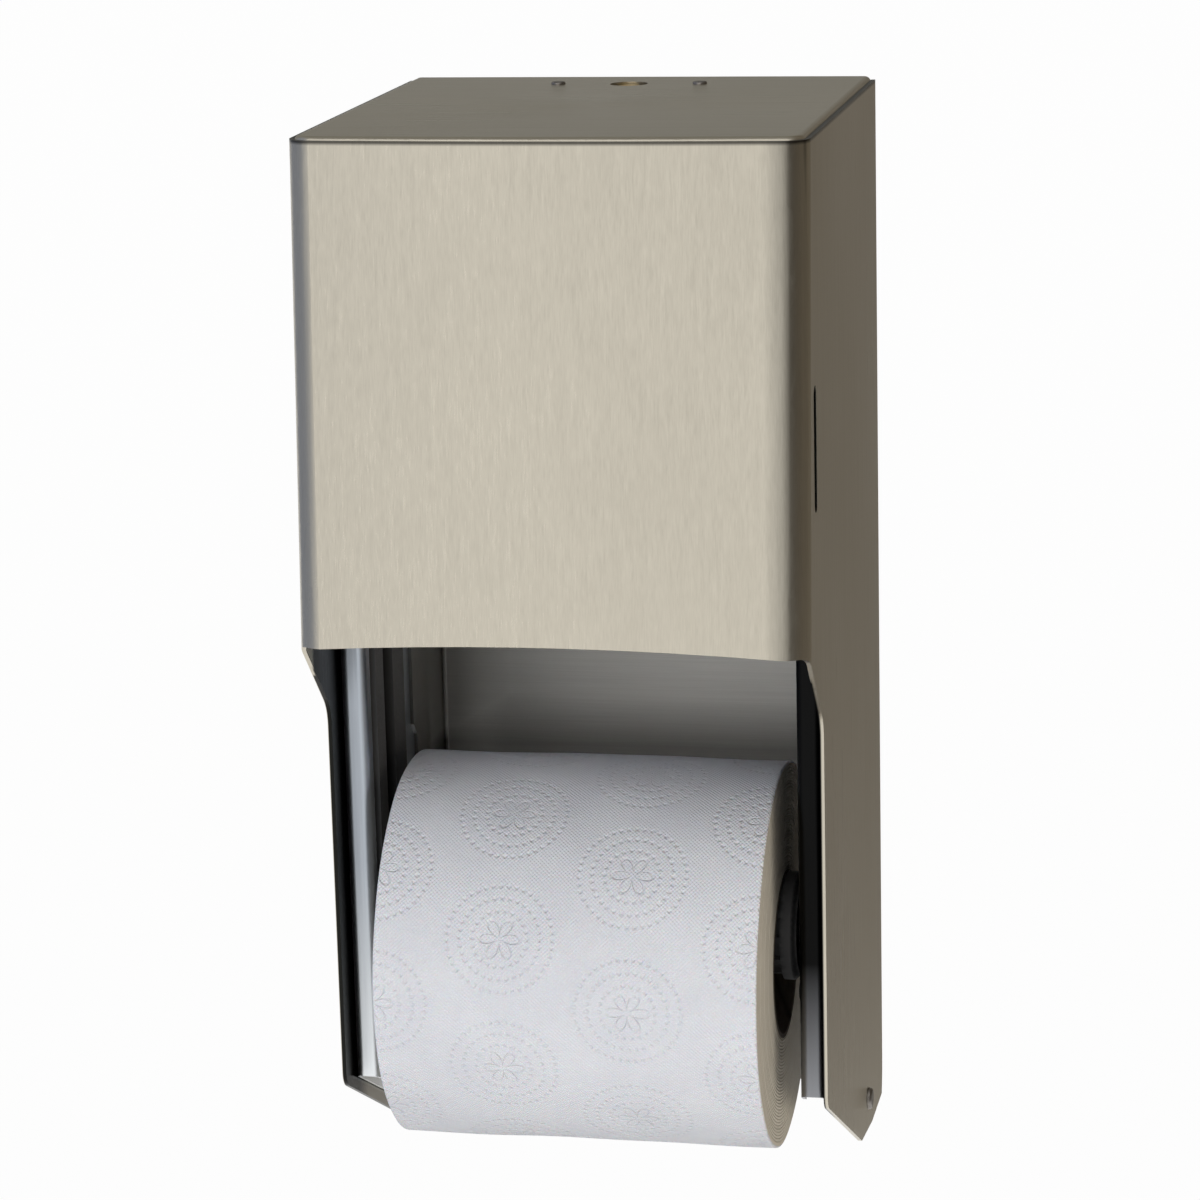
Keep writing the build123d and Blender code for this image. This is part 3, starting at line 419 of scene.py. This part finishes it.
def core_card(name):
    """Spirally wound grey-brown card, its tones darkened as painted shade inside the core."""
    dark, light, seam_tone = (0.08, 0.064, 0.048), (0.12, 0.098, 0.076), (0.045, 0.034, 0.025)
    windings, seam_band = 1.7, (0.0, 0.02)
    paint = Paint(name)
    fibres = paint.noise((1500.0, 300.0, 300.0), detail=4.0, roughness=0.6)
    x, y, z = paint.axes("Generated")
    turn = paint.calc("ARCTAN2", paint.minus(z, 0.5), paint.minus(y, 0.5))
    spiral = paint.calc("FRACT", paint.plus(paint.times(x, windings), paint.times(turn, 1 / math.tau)))
    card = paint.rise(paint.unsigned(paint.minus(spiral, 0.5)), seam_band)
    tone = paint.blend(paint.rise(fibres, NOISE_BAND), dark, light)
    paint.set("Base Color", paint.blend(card, seam_tone, tone))
    paint.set("Roughness", 0.85)
    paint.bump(paint.plus(fibres, paint.times(card, 2.0)), 0.0001, strength=0.5)
    return paint.material


def wave(paint, value, length):
    return paint.calc("SINE", paint.times(value, math.tau / length))


def ridge(paint, value, middle, width):
    """1 where value equals middle, falling to 0 at width from it."""
    return paint.fall(paint.unsigned(paint.minus(value, middle)), (0.0, width))


def dotted_ring(paint, distance, angle, radius, dots):
    beads = paint.rise(paint.calc("COSINE", paint.times(angle, dots)), DOT_BAND)
    return paint.times(ridge(paint, distance, radius, DOT_WIDTH), beads)


def petals(paint, distance, angle):
    """Outline and low filling of a six-petal blossom."""
    lobe = paint.unsigned(paint.calc("COSINE", paint.times(angle, PETAL_WAVES)))
    edge = paint.times(paint.calc("POWER", lobe, PETAL_SHAPE), PETAL_LENGTH)
    outline = ridge(paint, paint.minus(distance, edge), 0.0, PETAL_WIDTH)
    inside = paint.calc("LESS_THAN", distance, edge)
    return paint.greater(outline, paint.times(inside, PETAL_FILL))


def embossing(paint):
    """Height of the embossing: blossoms in dotted rings, half a step apart in each second column."""
    along, around, _ = paint.axes("UV")
    row = math.tau * ROLL_RADIUS / PRINT_ROWS
    across = paint.calc("DIVIDE", along, PRINT_CELL)
    column = paint.unsigned(paint.calc("FLOOR", across))
    half_drop = paint.times(paint.calc("MODULO", column, 2.0), 0.5)
    down = paint.plus(paint.calc("DIVIDE", around, row), half_drop)
    dx = paint.times(paint.minus(paint.calc("FRACT", across), 0.5), PRINT_CELL)
    dy = paint.times(paint.minus(paint.calc("FRACT", down), 0.5), row)
    distance = paint.calc("SQRT", paint.plus(paint.times(dx, dx), paint.times(dy, dy)))
    angle = paint.calc("ARCTAN2", dy, dx)
    height = petals(paint, distance, angle)
    for radius, dots in PRINT_RINGS:
        height = paint.greater(height, dotted_ring(paint, distance, angle, radius, dots))
    weave = paint.times(wave(paint, along, WEAVE_LENGTH), wave(paint, around, WEAVE_LENGTH))
    return paint.plus(height, paint.times(weave, WEAVE_HEIGHT))


def tissue(name):
    """Soft white embossed tissue."""
    dark, light, fibre_tone = (0.83, 0.84, 0.9), (0.88, 0.89, 0.94), (0.79, 0.80, 0.85)
    paint = Paint(name)
    relief = embossing(paint)
    fibre = paint.noise(1700.0, detail=4.0, roughness=0.65)
    cloud = paint.noise(60.0, detail=3.0, roughness=0.5)
    tone = paint.blend(paint.rise(cloud, (0.35, 0.65)), dark, light)
    paint.set("Base Color", paint.blend(paint.rise(fibre, NOISE_BAND, 0.35), tone, fibre_tone))
    paint.set("Roughness", 0.95)
    paint.set("Specular IOR Level", 0.15)
    paint.set("Sheen Weight", 0.25)
    paint.set("Sheen Roughness", 0.6)
    paint.set("Subsurface Weight", 0.12)
    paint.set("Subsurface Scale", 0.0015)
    soft = paint.bump(relief, 0.00045, strength=0.75)
    paint.bump(fibre, 0.00012, strength=0.5, below=soft)
    return paint.material


def tissue_edge(name):
    """Cut end of the roll, where the wound layers show as rings."""
    dark, light = (0.88, 0.82, 0.72), (0.95, 0.91, 0.82)
    paint = Paint(name)
    layers = wave(paint, paint.axes("UV")[0], LAYER_LENGTH)
    drift = paint.noise((20.0, 220.0, 220.0), detail=3.0, roughness=0.5)
    ringed = paint.plus(paint.times(layers, 0.5), drift)
    fuzz = paint.noise(2400.0, detail=3.0, roughness=0.7)
    paint.set("Base Color", paint.blend(paint.rise(ringed, (0.0, 1.0)), dark, light))
    paint.set("Roughness", 0.98)
    paint.set("Specular IOR Level", 0.1)
    rings = paint.bump(layers, 0.00025, strength=0.6)
    paint.bump(fuzz, 0.0002, strength=0.5, below=rings)
    return paint.material


def mesh_piece(name, points, faces, materials, uv, kinds):
    """Mesh object with a UV point for each vertex and a material number for each face."""
    half_turn = math.pi * ROLL_RADIUS
    mesh = bpy.data.meshes.new(name)
    mesh.from_pydata(points, [], faces)
    for material in materials:
        mesh.materials.append(material)
    layer = mesh.uv_layers.new(name="Wrap")
    for polygon, kind in zip(mesh.polygons, kinds):
        polygon.material_index = kind
        polygon.use_smooth = True
        spots = [uv[mesh.loops[i].vertex_index] for i in polygon.loop_indices]
        around = [v for _, v in spots]
        wraps = max(around) - min(around) > half_turn
        for i, (u, v) in zip(polygon.loop_indices, spots):
            lift = 2 * half_turn if wraps and v < half_turn else 0.0
            layer.data[i].uv = (u, v + lift)
    mesh.validate()
    made = bpy.data.objects.new(name, mesh)
    bpy.context.scene.collection.objects.link(made)
    return made


def roll_radius(x, turn, seed):
    """Radius of the wound outside, with its soft unevenness."""
    uneven = sum(height * math.sin(waves * turn + along * x + share * seed)
                 for height, waves, along, share in ROLL_WAVES)
    return ROLL_RADIUS - ROLL_INSET + uneven


def sunk(place, waves, seed):
    """How far a layer on an end lies back from it, as a number of 0 or less."""
    quick, slow, share = waves
    depth = SUNK_DEPTH * math.sin(quick * place + share * seed) * math.sin(slow * place)
    return min(depth, 0.0)


def end_profile():
    """Distance along the roll, place from core (0) to edge (1 to 2), and whether it is on the cut end."""
    profile = [(ROLL_HALF_LENGTH, i / END_RINGS, True) for i in range(END_RINGS)]
    for i in range(EDGE_STEPS + 1):
        bend = math.radians(90 * i / EDGE_STEPS)
        profile.append((ROLL_HALF_LENGTH - EDGE_ROUND * (1 - math.cos(bend)), 1 + math.sin(bend), False))
    return profile


def closed_section(seed):
    """Section of the roll: out along one end, along the outside, in along the other end."""
    section = []
    end = end_profile()
    for x, place, on_end in end:
        back = sunk(place, RIGHT_END_WAVES, seed) if on_end else 0.0
        section.append((x - END_INSET + back, place, on_end))
    inner = ROLL_HALF_LENGTH - EDGE_ROUND - END_INSET
    for i in range(1, ROLL_STEPS_ALONG):
        section.append((inner - 2 * inner * i / ROLL_STEPS_ALONG, 2.0, False))
    for x, place, on_end in reversed(end):
        back = sunk(place, LEFT_END_WAVES, seed) if on_end else 0.0
        section.append((END_INSET - x - back, place, on_end))
    return section


def section_radius(x, place, turn, seed):
    """Radius at a place of the section: from the core to the start of the rounded edge, then round it."""
    flat_end = roll_radius(x, turn, seed) - EDGE_ROUND
    return CORE_OUTSIDE + (flat_end - CORE_OUTSIDE) * min(place, 1.0) + EDGE_ROUND * max(place - 1.0, 0.0)


def wound_roll(name, node, body, face, edge, seed):
    """Wound roll of tissue in place of the plain one: uneven outside, rounded edges and ringed ends."""
    low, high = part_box(node)
    middle = (low + high) / 2
    section = closed_section(seed)
    points, uv = [], []
    for x, place, on_end in section:
        for i in range(ROLL_STEPS_ROUND):
            turn = math.tau * i / ROLL_STEPS_ROUND
            radius = section_radius(x, place, turn, seed)
            y, z = radius * math.cos(turn), radius * math.sin(turn)
            points.append((middle.x + x, middle.y + y, middle.z + z))
            uv.append((radius if on_end else x, turn * ROLL_RADIUS))
    faces, kinds = [], []
    for r, (_, _, on_end) in enumerate(section):
        after = (r + 1) % len(section)
        here, there = r * ROLL_STEPS_ROUND, after * ROLL_STEPS_ROUND
        for i in range(ROLL_STEPS_ROUND):
            j = (i + 1) % ROLL_STEPS_ROUND
            faces.append((here + i, here + j, there + j, there + i))
            kinds.append(1 if on_end or section[after][2] else 0)
    made = mesh_piece(name, points, faces, (face, edge), uv, kinds)
    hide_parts(node)
    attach(made, body)


def paint_nodes(materials):
    """Gives each CAD node its own procedural material, or else that of its slot."""
    slots = {row["node"]: row["material_slot"] for row in frame["record"]["subparts"]}
    for name, node in frame["nodes"].items():
        material = materials.get(name) or materials[slots[name]]
        node.data.materials.clear()
        node.data.materials.append(material)


def area_light(name, place, size, power, colour):
    """Lamp that lights the object and isn't seen itself."""
    lamp = bpy.data.lights.new(name, "AREA")
    lamp.shape = "RECTANGLE"
    lamp.size, lamp.size_y = size
    lamp.energy = power
    lamp.color = colour
    made = bpy.data.objects.new(name, lamp)
    made.location = place
    made.rotation_euler = (Vector(LAMP_AIM) - Vector(place)).to_track_quat("-Z", "Y").to_euler()
    bpy.context.scene.collection.objects.link(made)
    made.visible_camera = False
    made.visible_glossy = False


def seen_share(paint):
    """1 for camera, glossy and transmission rays, so that metal shows the pale background too."""
    path = paint.node("ShaderNodeLightPath")
    seen = paint.greater(path.outputs["Is Camera Ray"], path.outputs["Is Glossy Ray"])
    return paint.greater(seen, path.outputs["Is Transmission Ray"])


def studio_world():
    """White background where it is seen, and a dimmer one as light on matt surfaces."""
    world = bpy.data.worlds.new("studio")
    bpy.context.scene.world = world
    world.use_nodes = True
    nodes = Nodes(world.node_tree)
    background = nodes.node("ShaderNodeBackground")
    nodes.join(nodes.blend(seen_share(nodes), WORLD_LIGHT, WHITE), background.inputs["Color"])
    output = nodes.node("ShaderNodeOutputWorld")
    nodes.join(background.outputs[0], output.inputs["Surface"])


def rectangle(start, end):
    """Corners of the rectangle with two opposite corners that share one coordinate."""
    first, second = (axis for axis in range(3) if start[axis] != end[axis])
    along, up = list(start), list(start)
    along[first] = end[first]
    up[second] = end[second]
    return [start, along, end, up]


def plain_sheet(name, corners, material):
    """Flat four-cornered piece of the studio."""
    mesh = bpy.data.meshes.new(name)
    mesh.from_pydata(corners, [], [(0, 1, 2, 3)])
    mesh.materials.append(material)
    sheet = bpy.data.objects.new(name, mesh)
    bpy.context.scene.collection.objects.link(sheet)
    return sheet


def studio_panels():
    """Toned panels outside the photograph's frame, which the steel's sides, top and bends reflect."""
    for name, (start, end, tone) in PANELS.items():
        paint = Paint(name)
        glow = paint.node("ShaderNodeEmission")
        glow.inputs["Color"].default_value = (*tone, 1.0)
        paint.join(glow.outputs[0], paint.output.inputs["Surface"])
        panel = plain_sheet(name, rectangle(start, end), paint.material)
        panel.visible_camera = False
        panel.visible_shadow = False


def pale_floor():
    """Floor well below the dispenser: white where it is seen, but for a little of the object's shadow."""
    half = FLOOR_SIZE / 2
    paint = Paint("floor")
    paint.set("Base Color", (*FLOOR_TONE, 1.0))
    paint.set("Roughness", 0.9)
    glow = paint.node("ShaderNodeEmission")
    mix = paint.node("ShaderNodeMixShader")
    paint.join(paint.times(seen_share(paint), FLOOR_GLOW_SHARE), mix.inputs[0])
    paint.join(paint.shader.outputs[0], mix.inputs[1])
    paint.join(glow.outputs[0], mix.inputs[2])
    paint.join(mix.outputs[0], paint.output.inputs["Surface"])
    corners = rectangle((-half, -half, FLOOR_HEIGHT), (half, half, FLOOR_HEIGHT))
    plain_sheet("floor", corners, paint.material)


def place_camera():
    """Camera at the photograph's place and angle."""
    azimuth, elevation, roll = (math.radians(a) for a in (CAMERA_AZIMUTH, CAMERA_ELEVATION, CAMERA_ROLL))
    forward = Vector((
        -math.sin(azimuth) * math.cos(elevation),
        math.cos(azimuth) * math.cos(elevation),
        -math.sin(elevation),
    ))
    right = Vector((math.cos(azimuth), math.sin(azimuth), 0.0))
    up = right.cross(forward)
    across = right * math.cos(roll) + up * math.sin(roll)
    upward = up * math.cos(roll) - right * math.sin(roll)
    turned = Matrix((across, upward, -forward)).transposed().to_4x4()
    data = bpy.data.cameras.new("camera")
    data.sensor_width = SENSOR
    data.lens = CAMERA_LENS
    data.clip_end = CAMERA_REACH
    camera = bpy.data.objects.new("camera", data)
    bpy.context.scene.collection.objects.link(camera)
    camera.matrix_world = Matrix.Translation(CAMERA_PLACE) @ turned
    bpy.context.scene.camera = camera


def make_materials():
    """Procedural materials by slot, or by node where a node differs from its slot."""
    # Painted shade on the cover and back plate, painted light low on the left plate, painted shade and a
    # painted reflection on the right plate
    cover_painted_shade = (
        (hidden_side_shade, WALL_SHADE),
        (right_corner_shade, CORNER_SHADE),
        (top_seam_shade, CORNER_SHADE),
        (cut_edge_shade, CUT_SHADE),
    )
    back_painted_shade = ((shaded_back, BACK_SHADE),)
    left_painted_light = ((left_foot_light, LEFT_FOOT_PAINTED_LIGHT),)
    right_painted_shade_and_reflection = ((front_flange_shade, FLANGE_SHADE), (right_foot_reflection, RIGHT_FOOT_PAINTED_REFLECTION))
    return {
        "stainless_cover": brushed_steel("stainless_cover", COVER_STEEL, UPRIGHT_GRAIN,
                                         roughness=0.3, anisotropy=0.5, painted_light_and_shade=cover_painted_shade),
        "top_pan": brushed_steel("stainless_pan", COVER_STEEL, CROSSWISE_GRAIN,
                                 roughness=0.3, anisotropy=0.3),
        "back_plate": brushed_steel("stainless_back", INNER_STEEL, CROSSWISE_GRAIN,
                                    roughness=0.48, anisotropy=0.6, around="X", painted_light_and_shade=back_painted_shade),
        # The left plate's bluish tone is a painted reflection
        "left_side_plate": brushed_steel("stainless_left", PAINTED_BLUE_REFLECTION_STEEL, UPRIGHT_GRAIN,
                                         roughness=0.32, anisotropy=0.5, painted_light_and_shade=left_painted_light),
        "right_side_plate": brushed_steel("stainless_right", INNER_STEEL, UPRIGHT_GRAIN,
                                          roughness=0.35, anisotropy=0.5, painted_light_and_shade=right_painted_shade_and_reflection),
        "stainless_inner": brushed_steel("stainless_inner", INNER_STEEL, UPRIGHT_GRAIN,
                                         roughness=0.32, anisotropy=0.5),
        "rivet_steel": turned_metal("rivet_steel", RIVET_STEEL, roughness=0.42),
        "brass_lock": turned_metal("brass_lock", LOCK_BRASS, roughness=0.3),
        "black_plastic": moulded_plastic("black_plastic"),
        "core_card": core_card("core_card"),
        "roll_paper": tissue("roll_paper"),
    }


def main():
    materials = make_materials()
    paint_nodes(materials)
    edge = tissue_edge("roll_paper_edge")
    for body, seed in ROLL_SEEDS:
        wound_roll(f"{body}_tissue", f"{body}_paper", body, materials["roll_paper"], edge, seed)
    studio_world()
    studio_panels()
    pale_floor()
    for name, (place, size, power, colour) in LAMPS.items():
        area_light(name, place, size, power, colour)
    place_camera()
    bpy.context.scene.view_settings.view_transform = "Standard"


main()
